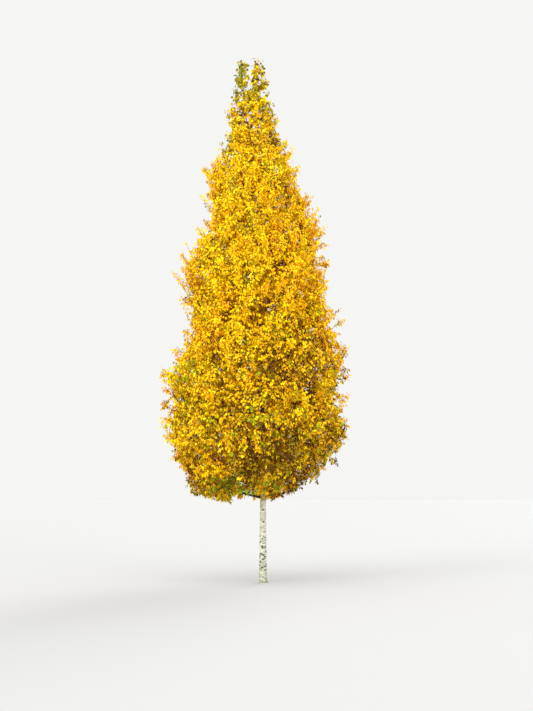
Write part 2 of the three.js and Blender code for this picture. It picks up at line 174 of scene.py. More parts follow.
TWIG_RAGGEDNESS = 0.042  # metres by which the reach of a twig's shoots varies, and then of each
SHOOT_RAGGEDNESS = 0.025
RAGGED_DROP = 0.05  # metres by which they stop short of it for that
MOST_RAGGED = 0.16  # of the crown's radius
END_SHOOT = 1.3  # how much longer the shoot is that ends a twig
END_SPREAD = 0.2  # of the turn that another takes from the twig
END_ROOM = 0.08  # metres that it may reach past the end of its twig, at least
LEAFY_FOOT = (1.62, 1.5)  # no shoot ends lower, at the front and the back, and at the sides
FOOT_WAVES = (5, 5, 0.5)  # waves to the metre of the crown's uneven foot
FOOT_UNEVENNESS = 0.17
OPEN_FOOT = (1.5, 2.7)  # the crown thins out downwards over these heights
OPEN_FOOT_SHARE = 0.6  # of the twigs that are left at its foot
OPEN_TOP = (8.4, 9.8)  # and upwards over these, where it has fewer shoots and leaves
OPEN_TOP_SHARE = 0.5  # of the shoots that are left at its top
OPEN_TOP_SPACING = 1.6  # how much further apart the leaves on them are
FILL_SITES = 8000  # places that are looked at for gaps between the shoots
FILL_DEPTH = (0.35, 0.93)
FILL_GAP = 0.1  # how far from all shoots a place is, at least, to which one more grows
FILL_PLACES = np.array([0.35, 0.7, 1])  # where that one may start on another
FILL_BEYOND = 0.05
OUT_OF_BOX = 0.01  # how far a shoot may end outside the box of the solids

# Leaves
LEAF_LENGTH = (0.043, 0.063)
LEAF_SPACING = 0.0178
LEAF_FIRST = 0.12  # share of a shoot that is bare at its foot
PETIOLE = 0.24  # of a leaf's length
PETIOLE_WIDTH = 0.03
LEAF_POINTS = np.array([
    (0, 0, 0), (0, 0.48, 0), (0, 1, -0.09),
    (-0.37, 0.3, 0.08), (0.37, 0.3, 0.08),
    (-PETIOLE_WIDTH, -PETIOLE, 0), (PETIOLE_WIDTH, -PETIOLE, 0),
    (-0.26, 0.62, 0.05), (0.26, 0.62, 0.05),
])
LEAF_FACES = np.array([(0, 1, 3), (3, 1, 7), (7, 1, 2), (0, 4, 1), (4, 8, 1), (8, 2, 1), (5, 6, 0)])
INNER_LEAF_FACES = np.array([(0, 1, 3), (3, 1, 2), (0, 4, 1), (4, 2, 1), (5, 6, 0)])
INNER_LEAF_POINTS = 7  # a leaf inside the crown has the first of the points alone
INNER_LEAVES = 0.78  # of the crown's radius: inside it they are larger and further apart
INNER_LEAF = 1.35
INNER_SPACING = 0.031
TOP_LEAF = 1.42  # how much larger the single leaves of the tips are
# How far a leaf points along its shoot, away from it, down and at random
LEAF_ALONG = 0.4
LEAF_ASIDE = (0.4, 1.2)
LAST_LEAF_ASIDE = 0.15
LEAF_HANG = (0.4, 1.5)
LEAF_SCATTER = 0.22
# How far it faces out of the crown, up and at random
FACING_OUT = 0.6
FACING_UP = (0, 0, 0.4)
FACING_SCATTER = 0.5
LEAF_WIDTHS = (0.85, 1.12)
LEAF_FOLDS = (0.2, 2.2)
LEAF_ROUGHNESS = 0.6
LEAF_GLOSS = 0.15
LEAVES_OF_ONE_TINT = 3
TRIANGLES_IN_PIECE = 180000

# Autumn tints: colour, how often a spray has it at each of six heights, and how often deep inside
# The tints darken down the crown to browns and ochres at its foot: painted shade under the crown
TINT_HEIGHTS = (1.7, 2.6, 5.4, 8.0, 9.2, 9.75)
TINTS = {
    "brown": ("6C4A0A", (0.95, 0.26, 0.00, 0.00, 0.02, 0.08), 0.04),
    "ochre": ("CA9A0A", (0.28, 0.20, 0.05, 0.02, 0.06, 0.03), 0.14),
    "amber": ("F8B500", (0.03, 0.08, 0.15, 0.06, 0.00, 0.00), 0.30),
    "gold": ("FFCB00", (0.03, 0.14, 0.36, 0.24, 0.06, 0.02), 0.24),
    "yellow": ("FCD800", (0.03, 0.21, 0.34, 0.44, 0.22, 0.14), 0.12),
    "lemon": ("FCE410", (0.00, 0.07, 0.09, 0.20, 0.08, 0.02), 0.02),
    "olive": ("A99808", (0.15, 0.15, 0.02, 0.04, 0.52, 0.62), 0.08),
    "green": ("98A80C", (0.04, 0.09, 0.00, 0.00, 0.08, 0.11), 0.06),
}
INNER_TINT_AND_SHADE_SHARES = (0.86, 0.56)  # shares of the crown's radius between which the inner tints take over: darker ones as painted shade, greener ones as shade leaves that turn later
INNER_TINT_AND_SHADE_HEIGHTS = (4.2, 5.4)  # their hold weakens between these heights, to the next value
INNER_TINT_AND_SHADE_HOLD = 0.2
PATCHY = 0.5  # the share of the sprays that have the tint of their patch
PATCHES = (1.9, 1.9, 1.5)  # waves to the metre
PATCH_EDGE = 0.1
PATCH_DRAWS = (0.001, 0.999)
PATCH_LEFT = 0.15  # how much yellower the patches grow with each metre to the left
SHADE_BROWN_BESIDE = (0.3, 1.1)  # the brown, painted shade under the crown's middle, thins out sideways between these distances from the trunk
SHADE_BROWN_LEFT_OVER = 0.2
GREEN_TINTS = 2  # the last ones
GREENS_LEFT = 0.15  # the share of them that is left at the crown's left edge
GREENS_FROM = (-1.3, -0.6)

# The trunk's mesh and the relief of its bark. Waves are a scale, in waves to the metre, and a depth.
TRUNK_MESH_SIDES = 56
BARE_TOP = 1.9
RING_STEP_BARE = 0.005  # between rings below that height, where the trunk shows
RING_STEP_INSIDE = 0.1
FLARE_LOBES = {"count": 5, "turn": 0.7, "depth": 0.004, "height": 0.11}
TRUNK_WAVES = [((9, 9, 3), 0.004), ((28, 28, 60), 0.0016)]
ROUGH_FOOT = 0.09  # the height over which its roughness fades
FURROWS = ((60, 60, 14), 0.009)
FURROW_EDGE = (0.0005, 0.0035)  # a furrow turns dark between these depths
NETWORK = ((34, 34, 26), 1)
NETWORK_EDGE = (0.05, 0.16)
NETWORK_HEIGHT = 0.32  # dark cracks net the foot about that high
NETWORK_DARKNESS = 0.9
CRACK_DARKNESS = 0.85
PATCHY_BARK = ((6, 6, 9), 0.5)
BARK_BROWN_AND_SHADE_HEIGHTS = (1.9, 3.6)  # the bark turns from white to brown between them: painted shade where the crown covers the trunk, and higher up the brown bark of the young stem
MOSS = {"most": 0.28, "height": 0.1, "patchy": 0.6, "limit": 0.6}

# Dark marks across the bark: half width in radians, half height, drop to each side by the radian, relief
Mark = namedtuple("Mark", "width thickness drop relief")
SMALL_MARK = Mark((0.08, 0.3), (0.002, 0.005), 0.004, 0.0012)  # ranges, and how much drops vary
LARGE_MARK = Mark((0.2, 0.5), (0.006, 0.013), 0.014, -0.0015)
FRONT_MARK = Mark(0.4, 0.016, 0.02, -0.0015)
BOUGH_PATCH = Mark(0.5, 0.03, 0.01, 0)
BOUGH_LINE = Mark(1.2, 0.009, 0.05, 0.002)
BOUGH_PATCH_DROP = 0.004  # metres below the foot of a bough, and the line's above it
BOUGH_LINE_RISE = 0.03
BOUGH_FOOT_PLACES = np.linspace(0, 0.3, 40)  # where a bough may leave the trunk
MARKS = 260
LARGE_SHARE = 0.22
MARK_HEIGHTS = (0.03, 3.2)
LOW_SHARE = 0.55  # of the marks that are between the next heights
LOW_HEIGHTS = (0.2, 0.85)
MARK_REACH = 0.12  # up and down from a mark's middle
FRONT_MARKS = [
    (1.31, -92), (1.09, -80), (0.73, -150), (0.65, -100), (0.64, -45), (0.56, -20), (0.52, -125),
    (0.5, -95), (0.42, -90), (0.38, -140), (0.33, -25), (0.27, -105),
]  # height, side in degrees

# Limbs
LIMB_SIDES = 8
LIMB_RINGS = 40
LIMB_COLLAR = 0.35  # how much thicker a limb is at the trunk, as a share of its radius
COLLAR_LENGTH = 0.06
LIMB_WAVES = (25, 25, 25)
LIMB_RELIEF = 0.14  # of its radius

# Colours of the bark; the trunk's brown is also painted shade inside the crown
TRUNK_BARK = {
    "white": "DADBC4", "grey": "B6B79B", "band": "8F8A78", "brown": "6B5238", "mark": "15120E",
    "moss": "77774F",
}
BOUGH_BARK = {"dark": "3B2C1E", "light": "5E4930", "lenticel": "8D7C66"}
TWIG_BARK = ("452413", "6B3B1E")
SHOOT_BARK = ("7A4014", "A86420")

# Stage: the lamps have a place, the width of their disc in degrees and a strength
LAMPS = {
    "key": ((-14, -14, 11), 40, 1.5),
    "sky": ((-3, -8, 20), 60, 0.95),
    "fill": ((11, -15, 7), 40, 1.27),
    "rim": ((6, 12, 13), 30, 1.1),
}
LAMP_TARGET = (0, 0, 5)
BACKGROUND = {"colour": "EDEDEB", "strength": 1.08}
FLOOR = {"colour": "C5C5C4", "roughness": 0.9, "size": 500}
CAMERA_PLACE = (0.064, -18.35, 1.6)
CAMERA_PITCH = 7.96  # degrees
LENS = 50  # millimetres
SENSOR_WIDTH = 36
FARTHEST_VIEW = 600


# Numbers
def seeded_random(seed):
    """Random numbers from 0 to 1, the same ones for the same seed as in the source of the solids."""
    mask = 0xFFFFFFFF
    state = seed & mask

    def draw():
        nonlocal state
        state = (state + 0x6D2B79F5) & mask
        mixed = ((state ^ (state >> 15)) * (state | 1)) & mask
        mixed ^= (mixed + ((mixed ^ (mixed >> 7)) * (mixed | 61) & mask)) & mask
        return (mixed ^ (mixed >> 14)) / 2**32

    return draw


def lerp(low, high, share):
    return low + (high - low) * share


def smoothstep(x, low, high):
    share = np.clip((x - low) / (high - low), 0, 1)
    return share * share * (3 - 2 * share)


def unit(vectors):
    return vectors / np.maximum(np.linalg.norm(vectors, axis=-1, keepdims=True), 1e-9)


def turned(side):
    """Level directions towards sides in radians."""
    return np.stack([np.cos(side), np.sin(side), np.zeros_like(side)], -1)


# Trunk line
def trunk_centre(height):
    height = np.asarray(height, float)
    x = sum(shift * smoothstep(height, low, high) for shift, low, high in LEANS)
    return np.stack([x, BOW * np.sin(np.pi * height / TRUNK_TOP), height], -1)


def trunk_radius(height):
    taper = lerp(TRUNK_FOOT_RADIUS, TRUNK_TOP_RADIUS, (height / TRUNK_TOP) ** TRUNK_TAPER)
    return taper + ROOT_FLARE * np.exp(-height / ROOT_FLARE_HEIGHT)


# Crown
def make_tufts():
    random = seeded_random(SEED)
    tufts = list(TUFTS)
    for i in range(HIDDEN_TUFTS):
        side = HIDDEN_TUFT_SIDES[i % 2] + HIDDEN_TUFT_SPREAD * (random() - 0.5)
        height = lerp(*HIDDEN_TUFT_HEIGHTS, (i + random()) / HIDDEN_TUFTS)
        tufts.append((height, side, lerp(*HIDDEN_TUFT_REACH, random())))
    return tufts


tufts = make_tufts()


def plain_radius(height):
    return np.interp(height, *CROWN_RADIUS)


def crown_axis(height):
    return np.interp(height, *CROWN_AXIS)


def crown_radius(height, side):
    radius = plain_radius(height)
    for tuft_height, tuft_side, reach in tufts:
        up = (height - tuft_height) / TUFT_HEIGHT
        turn = ((np.degrees(side) - tuft_side + 180) % 360 - 180) / TUFT_WIDTH
        radius = radius + reach * np.exp(-up * up - turn * turn)
    return radius


def from_axis(points):
    """The level way from the crown's axis to points."""
    level = points * (1.0, 1.0, 0.0)
    level[..., 0] -= crown_axis(points[..., 2])
    return level


def crown_share(points):
    """How far out points lie, as a share of the crown's radius. MOST_SHARE is outside the crown."""
    x, y, _ = np.moveaxis(from_axis(points), -1, 0)
    z = points[..., 2]
    share = np.hypot(x, y) / crown_radius(z, np.arctan2(y, x))
    gap = LEADER_GAP["half_width"] * smoothstep(z, LEADER_GAP["foot"], CROWN_TOP)
    in_gap = (z > LEADER_GAP["foot"]) & (np.abs(points[..., 0] - LEADER_GAP["side"]) < gap)
    return np.where(in_gap | (z < CROWN_FOOT) | (z > CROWN_TOP), MOST_SHARE, share)


def crosses_gap(twigs):
    """Whether a twig passes between the two leaders."""
    points = on_curve(twigs[:, None], GAP_PLACES)
    high = points[..., 2] > LEADER_GAP["foot"]
    return np.any(high & (crown_share(points) == MOST_SHARE), axis=1)


def crown_point(height, side, share):
    radius = share * plain_radius(height)
    return np.array([crown_axis(height) + radius * math.cos(side), radius * math.sin(side), height])


def even_heights(count, top, size):
    """Heights that share out the crown's surface evenly, counted in patches of that size."""
    z = np.arange(CROWN_FOOT, top, STRIDE)
    slant = np.hypot(STRIDE, plain_radius(z + STRIDE) - plain_radius(z))
    sums = np.concatenate([[0], np.cumsum(plain_radius(z) * slant / size(z) ** 2)])
    wanted = sums[-1] * (np.arange(count) + 0.5) / count
    return CROWN_FOOT + STRIDE * np.searchsorted(sums, wanted)


def spray_length(height):
    return SPRAY_LENGTH["least"] + SPRAY_LENGTH["share"] * plain_radius(height)


# Curves: three points of a quadratic Bezier curve each
def on_curve(curve, t):
    t = np.asarray(t, float)[..., None]
    start, corner, end = (curve[..., place, :] for place in range(3))
    return (1 - t) ** 2 * start + 2 * t * (1 - t) * corner + t * t * end


def tangent(curve, t):
    t = np.asarray(t, float)[..., None]
    first = curve[..., 1, :] - curve[..., 0, :]
    second = curve[..., 2, :] - curve[..., 1, :]
    return unit((1 - t) * first + t * second)


def along(curve, shares):
    """Points at shares of a curve's length."""
    t = np.linspace(0, 1, CURVE_SAMPLES)
    steps = np.linalg.norm(np.diff(on_curve(curve, t), axis=0), axis=1)
    lengths = np.concatenate([[0], np.cumsum(steps)])
    return on_curve(curve, np.interp(shares, lengths / lengths[-1], t))


def split_curve(curve, t):
    first = lerp(curve[0], curve[1], t)
    second = lerp(curve[1], curve[2], t)
    middle = lerp(first, second, t)
    return np.array([curve[0], first, middle]), np.array([middle, second, curve[2]])


def bent_curve(foot, end, bend):
    run, rise = bend
    corner = lerp(foot, end, run)
    corner[2] = lerp(foot[2], end[2], rise)
    return np.array([foot, corner, end])


# Masses
Mass = namedtuple("Mass", "centre curve foot_radius bough_end stem")


def make_mass(centre, curve, foot_radius, bough_end):
    stem = split_curve(curve, bough_end)[1] if bough_end else curve
    return Mass(centre, curve, foot_radius, bough_end, stem)


def spiral_mass(height, index):
    side = SPIRAL_START + index * GOLDEN_ANGLE
    end = crown_point(min(height + MASS_RISE, CROWN_TOP), side, STEM_REACH)
    rise = LIMB_STEEPNESS * STEM_REACH * plain_radius(height)
    foot = trunk_centre(max(end[2] - rise, CLEAR_STEM + index * FOOT_SPACING))
    return make_mass(
        crown_point(height, side, MASS_CENTRE),
        bent_curve(foot, end, LIMB_BEND),
        BOUGH_SHARE * trunk_radius(foot[2]),
        BOUGH_END if index < BOUGHS else 0,
    )


def leader_mass(foot, top, bough_end):
    curve = bent_curve(trunk_centre(foot), np.array(top), LEADER_BEND)
    centre = on_curve(curve, (1 + bough_end) / 2)
    return make_mass(centre, curve, LEADER_SHARE * trunk_radius(foot), bough_end)


def make_masses():
    heights = even_heights(SPIRAL_MASSES, SPIRAL_TOP, spray_length)
    spiral = [spiral_mass(height, index) for index, height in enumerate(heights)]
    return spiral + [leader_mass(**leader) for leader in LEADERS]


masses = make_masses()
squeeze = np.array([1, 1, SPACE_SQUEEZE])
squeezed_centres = np.array([mass.centre for mass in masses]) * squeeze
centres_apart = np.linalg.norm(squeezed_centres[:, None] - squeezed_centres, axis=2)
np.fill_diagonal(centres_apart, 1)


def space_of(points):
    """The mass whose space holds each point, and how deep the point lies in it."""
    squared = (((points * squeeze)[..., None, :] - squeezed_centres) ** 2).sum(-1)
    own = squared.argmin(-1)
    lead = squared - squared.min(-1)[..., None]
    depth = lead / (2 * centres_apart[own])
    np.put_along_axis(depth, own[..., None], np.inf, -1)
    return own, depth.min(-1)


# Limbs as chains of straight pieces with a radius, and the mass whose stem each belongs to
NO_MASS = -1
Pieces = namedtuple("Pieces", "start run radius owner")


def chain(points, radii, owner):
    return Pieces(points[:-1], np.diff(points, axis=0), radii, np.full(len(radii), owner))


def limb_chain(curve, count, foot_radius, end_radius, owner):
    radii = lerp(foot_radius, end_radius, np.arange(count) / count)
    return chain(along(curve, np.linspace(0, 1, count + 1)), radii, owner)


def limb_pieces():
    heights = np.append(np.arange(0, TRUNK_TOP, TRUNK_PIECE_LENGTH), TRUNK_TOP)
    chains = [chain(trunk_centre(heights), trunk_radius(heights[:-1]), NO_MASS)]
    for index, mass in enumerate(masses):
        stem_radius = lerp(mass.foot_radius, STEM_TIP_RADIUS, mass.bough_end)
        chains.append(limb_chain(mass.stem, STEM_PIECES, stem_radius, STEM_TIP_RADIUS, index))
        if mass.bough_end:
            bough = split_curve(mass.curve, mass.bough_end)[0]
            chains.append(limb_chain(bough, BOUGH_PIECES, mass.foot_radius, stem_radius, NO_MASS))
    return Pieces(*map(np.concatenate, zip(*chains)))


limbs = limb_pieces()


def clear_of_limbs(points, own):
    """Whether points stay clear of the trunk, of every bough and of the other masses' stems."""
    others = limbs.owner != own
    start, run, radius = limbs.start[others], limbs.run[others], limbs.radius[others]
    offset = points[:, None] - start
    share = np.clip((offset * run).sum(-1) / (run * run).sum(-1), 0, 1)
    distance = np.linalg.norm(offset - share[..., None] * run, axis=-1)
    return bool(np.all(distance > radius + LIMB_CLEARANCE))


def points_between(start, end):
    count = max(2, math.ceil(np.linalg.norm(end - start) / LIMB_CLEARANCE))
    return lerp(start, end, np.linspace(0, 1, count + 1)[:, None])


# Twigs
def twig_sites(heights, depths):
    """Places spread over the crown in a golden spiral, at depths that are shares of its radius."""
    sides = np.arange(len(heights)) * GOLDEN_ANGLE
    level = turned(sides) * (depths * crown_radius(heights, sides))[:, None]
    return level + np.stack([crown_axis(heights), 0 * heights, heights], -1)


def twig_start(end, places, own):
    """The nearest place, rising ones first, from where a twig reaches its end inside its own space."""
    level = np.hypot(*(end - places)[:, :2].T)
    sinking = end[2] - places[:, 2] <= TWIG_RISE * level
    distance = np.linalg.norm(places - end, axis=1)
    for i in np.lexsort([distance, sinking]):
        start = places[i]
        free = start + unit(end - start) * TWIG_CLEAR_OF_STEM
        owners, depths = space_of(points_between(start, end))
        stays_in = np.all(owners == own) and depths.min() > SPACE_GAP
        if stays_in and clear_of_limbs(points_between(free, end), own):
            return start
    return None


def grow_twigs(ends, places_of):
    """Curves of twigs to ends, and the mass of each. places_of gives a mass's places to start from."""
    owners, depths = space_of(ends)
    curves = []
    kept = []
    for end, own, depth in zip(ends, owners, depths):
        start = twig_start(end, places_of(own), own) if depth > SPACE_GAP else None
        if start is not None:
            curves.append(bent_curve(start, end, TWIG_BEND))
            kept.append(own)
    return np.array(curves), np.array(kept)


def first_twigs():
    heights = even_heights(TWIGS, CROWN_TOP, spray_length)
    draws = np.array([seeded_random(SEED * SEED_STEP + index)() for index in range(TWIGS)])
    stems = [along(mass.stem, STEM_PLACES) for mass in masses]
    return grow_twigs(twig_sites(heights, lerp(*TWIG_DEPTH, draws)), lambda own: stems[own])


def even_sites(count, depths, rng):
    """Places spread evenly over one layer of the crown, and fewer at its foot."""
    heights = even_heights(count, CROWN_TOP, lambda z: 1)
    heights = heights + rng.uniform(-SITE_JITTER, SITE_JITTER, count)
    heights = np.minimum(heights, CROWN_TOP - SITES_BELOW_TOP)
    sites = twig_sites(heights, rng.uniform(*depths, count))
    open_foot = lerp(OPEN_FOOT_SHARE, 1, smoothstep(heights, *OPEN_FOOT))
    return sites[(rng.random(count) < open_foot) & in_bounds(sites)]


def fine_twigs(first, first_owners, rng):
    places = []
    for own, mass in enumerate(masses):
        on_twigs = on_curve(first[first_owners == own][:, None], FINE_PLACES).reshape(-1, 3)
        places.append(np.concatenate([along(mass.stem, STEM_PLACES), on_twigs]))
    sites = np.concatenate([even_sites(count, depths, rng) for count, depths in FINE_LAYERS])
    return grow_twigs(sites, lambda own: places[own])[0]


# Shoots and leaves
def across(directions):
    """Two directions square to each direction and to each other."""
    up = np.where(np.abs(directions[..., 2:]) < 0.9, (0.0, 0.0, 1.0), (1.0, 0.0, 0.0))
    first = unit(np.cross(directions, up))
    return first, np.cross(directions, first)


def round_about(directions, turns):
    """Directions square to the given ones, turned round them."""
    first, second = across(directions)
    return np.cos(turns)[..., None] * first + np.sin(turns)[..., None] * second


def at_height(foot_and_top, heights):
    """Values at heights, from a pair for the foot and the top of the crown."""
    return np.interp(heights, (CROWN_FOOT, CROWN_TOP), foot_and_top)


def size_at(heights, least):
    """How long shoots and spurs are at heights, as a share of their full length."""
    return np.clip(plain_radius(heights) + SIZE_EXTRA, least, 1)


def openness(heights):
    """How far heights are up the open top of the crown, from 0 to 1."""
    return smoothstep(heights, *OPEN_TOP)


def grow_spurs(twigs, rng):
    """Curves that carry on some of the outer twigs, out and up."""
    height = twigs[:, 2, 2]
    share = at_height(SPUR_SHARE, height) * (1 - openness(height))
    outer = (crown_share(twigs[:, 2]) > SPURS_FROM) & (rng.random(len(twigs)) < share)
    start = twigs[outer, 2]
    direction = tangent(twigs[outer], 1.0) + SPUR_OUT * unit(from_axis(start))
    direction[:, 2] += at_height(SPUR_LIFT, start[:, 2])
    length = rng.uniform(*SPUR_LENGTH, len(start)) * size_at(start[:, 2], SPUR_LEAST)
    sag = at_height(SHOOT_SAG, start[:, 2])
    reach = at_height(SPUR_REACH, start[:, 2]) - rng.uniform(0, SPUR_UNEVENNESS, len(start))
    return fitted_shoots(start, unit(direction), length, sag, reach)


def shoot_reach(start, size, ends_twig, extra_reach, rng):
    """How far out shoots may end, as shares of the crown's radius, which vary by twig and by shoot."""
    radius = plain_radius(start[:, 2])
    ragged = rng.normal(0, TWIG_RAGGEDNESS, (size[0], 1)) + rng.normal(0, SHOOT_RAGGEDNESS, size)
    ragged = (ragged.ravel() - RAGGED_DROP) / radius
    reach = REACH + extra_reach + np.clip(ragged, -MOST_RAGGED, MOST_RAGGED)
    past_end = crown_share(start) + END_ROOM / radius
    return np.where(ends_twig, np.maximum(reach, past_end), reach)


def grow_shoots(twigs, count, lengths, extra_reach, rng):
    """Curves of shoots along twigs, shortened or left out where they would leave the crown."""
    size = (len(twigs), count)
    shares = np.linspace(*SHOOT_PLACES, count) + rng.uniform(-PLACE_JITTER, PLACE_JITTER, size)
    shares[:, -1] = 1
    shares = np.clip(shares, 0, 1)
    start = on_curve(twigs[:, None], shares)
    axis = tangent(twigs[:, None], shares)
    turns = rng.uniform(0, 2 * np.pi, (size[0], 1)) + GOLDEN_ANGLE * np.arange(size[1])
    spread = np.radians(rng.uniform(*SHOOT_SPREAD, size))
    spread[:, -1] *= END_SPREAD
    direction = np.cos(spread)[..., None] * axis + np.sin(spread)[..., None] * round_about(axis, turns)
    start, direction = start.reshape(-1, 3), direction.reshape(-1, 3)
    direction[:, 2] += at_height(SHOOT_LIFT, start[:, 2])
    length = rng.uniform(*lengths, size)
    length[:, -1] *= END_SHOOT
    length = length.ravel() * size_at(start[:, 2], SHOOT_LEAST)
    ends_twig = np.arange(len(start)) % count == count - 1
    reach = shoot_reach(start, size, ends_twig, extra_reach, rng)
    kept = (rng.random(len(start)) < lerp(1, OPEN_TOP_SHARE, openness(start[:, 2]))) | ends_twig
    sag = at_height(SHOOT_SAG, start[:, 2])
    return fitted_shoots(start[kept], unit(direction)[kept], length[kept], sag[kept], reach[kept])


def fill_gaps(shoots, rng):
    """Shoots that lead on from the others into the gaps between them."""
    points = on_curve(shoots[:, None], FILL_PLACES).reshape(-1, 3)
    tree = kdtree.KDTree(len(points))
    for index, point in enumerate(points):
        tree.insert(point, index)
    tree.balance()
    sites = even_sites(FILL_SITES, FILL_DEPTH, rng)
    sites = sites[rng.random(len(sites)) < lerp(1, OPEN_TOP_SHARE, openness(sites[:, 2]))]
    start = points[[tree.find(site)[1] for site in sites]]
    length = np.linalg.norm(sites - start, axis=1)
    kept = length > FILL_GAP
    start, way, length = start[kept], (sites - start)[kept], length[kept] + FILL_BEYOND
    return fitted_shoots(start, unit(way), length, at_height(SHOOT_SAG, start[:, 2]), REACH)


def in_bounds(points):
    """Whether points keep to the box of the solids and stay above the leafy foot of the crown."""
    low = np.array(cad_lowest) - OUT_OF_BOX
    high = np.array(cad_highest) + OUT_OF_BOX
    sideways = np.abs(unit(from_axis(points))[:, 0])
    foot = lerp(*LEAFY_FOOT, sideways) + noise_waves(points, FOOT_WAVES, FOOT_UNEVENNESS)
    return np.all((points > low) & (points < high), axis=-1) & (points[:, 2] > foot)


def fitted_shoots(start, direction, length, sag, reach):
    """Shoots at the first share of their length that keeps them in the crown, up to their own reach."""
    groups = []
    waiting = np.ones(len(start), bool)
    for share in SHOOT_TRIES:
        end = start + direction * (length * share)[:, None]
        corner = lerp(start, end, 0.5)
        end[:, 2] -= sag * length * share
        depth = space_of(end)[1]
        groove = GROOVE_DEPTH * (1 - np.clip(depth / GROOVE_WIDTH, 0, 1))
        limit = (reach - groove) * lerp(1, TIP_REACH, smoothstep(end[:, 2], *TIPS))
        fits = waiting & (crown_share(end) < limit) & (crown_share(corner) < MOST_SHARE) & in_bounds(end)
        groups.append(np.stack([start, corner, end], 1)[fits])
        waiting &= ~fits
    return np.concatenate(groups)


def deal_tints(places, rng):
    """A tint for each spray of leaves, as its place in TINTS. Sprays of one patch are often alike."""
    by_height = [np.interp(places[:, 2], TINT_HEIGHTS, often) for _, often, _ in TINTS.values()]
    # Deep inside, the tints are darker as painted shade and greener as shade leaves that turn later
    inside = np.array([deep for _, _, deep in TINTS.values()])
    weakening = lerp(1, INNER_TINT_AND_SHADE_HOLD, smoothstep(places[:, 2], *INNER_TINT_AND_SHADE_HEIGHTS))
    hold = smoothstep(crown_share(places), *INNER_TINT_AND_SHADE_SHARES) * weakening
    often = lerp(np.stack(by_height, 1), inside, hold[:, None])
    often[:, -GREEN_TINTS:] *= lerp(GREENS_LEFT, 1, smoothstep(places[:, :1], *GREENS_FROM))
    # Brown keeps to the middle of the crown sideways: painted shade under the crown's middle
    often[:, 0] *= lerp(1, SHADE_BROWN_LEFT_OVER, smoothstep(np.abs(places[:, 0]), *SHADE_BROWN_BESIDE))
    sums = np.cumsum(often, 1)
    patch = noise_waves(places, PATCHES, 1) - PATCH_LEFT * places[:, 0]
    patch = patch.argsort().argsort() / len(places)
    patch = np.clip(patch + rng.normal(0, PATCH_EDGE, len(places)), *PATCH_DRAWS)
    draws = np.where(rng.random(len(places)) < PATCHY, patch, rng.random(len(places)))
    return np.minimum((draws[:, None] * sums[:, -1:] > sums).sum(1), len(TINTS) - 1)


def grow_leaves(shoots, rng):
    """Leaves on shoots, shaped (leaf, point, 3), their tints and which of them are plain inner ones."""
    lengths = np.linalg.norm(shoots[:, 2] - shoots[:, 0], axis=1)
    inside = crown_share(shoots[:, 2]) < INNER_LEAVES
    spacing = np.where(inside, INNER_SPACING, LEAF_SPACING)
    spacing = spacing * lerp(1, OPEN_TOP_SPACING, openness(shoots[:, 2, 2]))
    counts = (lengths * (1 - LEAF_FIRST) / spacing).astype(int) + 1
    owner = np.repeat(np.arange(len(shoots)), counts)
    order = np.arange(len(owner)) - np.repeat(np.cumsum(counts) - counts, counts)
    shares = 1 - order * (spacing / lengths)[owner]
    base = on_curve(shoots[owner], shares)
    axis = tangent(shoots[owner], shares)
    turns = rng.uniform(0, 2 * np.pi, len(shoots))[owner] + GOLDEN_ANGLE * order
    aside = np.where(order == 0, LAST_LEAF_ASIDE, rng.uniform(*LEAF_ASIDE, len(owner)))[:, None]
    pointing = LEAF_ALONG * axis + aside * round_about(axis, turns)
    pointing = pointing + rng.normal(0, LEAF_SCATTER, base.shape)
    pointing[:, 2] -= rng.uniform(*LEAF_HANG, len(owner))
    pointing = unit(pointing)
    top = openness(base[:, 2])
    length = rng.uniform(*LEAF_LENGTH, len(owner)) * lerp(1, TOP_LEAF, top)
    length *= np.where(inside[owner], lerp(INNER_LEAF, 1, top), 1)
    leaves = place_leaves(base, pointing, length[:, None], rng)
    first = order % LEAVES_OF_ONE_TINT == 0
    spray = np.cumsum(first) - 1
    return leaves, deal_tints(base[first], rng)[spray], inside[owner] & (top == 0)


def place_leaves(base, pointing, length, rng):
    """Leaves of several widths and folds, facing outwards and up more often than not."""
    facing = FACING_OUT * unit(from_axis(base)) + FACING_UP + rng.normal(0, FACING_SCATTER, base.shape)
    sideways = unit(np.cross(pointing, facing))
    upward = np.cross(sideways, pointing)
    turn = np.stack([sideways * length, pointing * length, upward * length], 1)
    shape = LEAF_POINTS * np.ones((len(base), 1, 1))
    shape[:, :, 0] *= rng.uniform(*LEAF_WIDTHS, (len(base), 1))
    shape[:, :, 2] *= rng.uniform(*LEAF_FOLDS, (len(base), 1))
    return (base + pointing * length * PETIOLE)[:, None] + shape @ turn


# Meshes
def make_piece(name, points, face_sets, material, smooth=True):
    """A mesh object from points and arrays of faces, each array with one number of corners."""
    face_sets = [np.asarray(faces) for faces in face_sets]
    sizes = np.concatenate([np.full(len(faces), faces.shape[1]) for faces in face_sets])
    corners = np.concatenate([faces.ravel() for faces in face_sets])
    mesh = bpy.data.meshes.new(name)
    mesh.vertices.add(len(points))
    mesh.vertices.foreach_set("co", points.astype(np.float32).ravel())
    mesh.loops.add(len(corners))
    mesh.loops.foreach_set("vertex_index", corners.astype(np.int32))
    mesh.polygons.add(len(sizes))
    mesh.polygons.foreach_set("loop_start", (np.cumsum(sizes) - sizes).astype(np.int32))
    mesh.update(calc_edges=True)
    mesh.polygons.foreach_set("use_smooth", np.full(len(sizes), smooth))
    mesh.materials.append(material)
    piece = bpy.data.objects.new(name, mesh)
    bpy.context.scene.collection.objects.link(piece)
    return piece


def tube_faces(tubes, rings, sides):
    """Quads and caps of tubes, as indices into their points, one tube after another."""
    ring = np.arange(rings - 1)[:, None] * sides
    corner = np.arange(sides)
    after = (corner + 1) % sides
    quads = np.stack([ring + corner, ring + after, ring + sides + after, ring + sides + corner], -1)
    caps = np.stack([corner[::-1], corner + (rings - 1) * sides])
    starts = np.arange(tubes)[:, None, None] * rings * sides
    return [(quads.reshape(-1, 4) + starts).reshape(-1, 4), (caps + starts).reshape(-1, sides)]


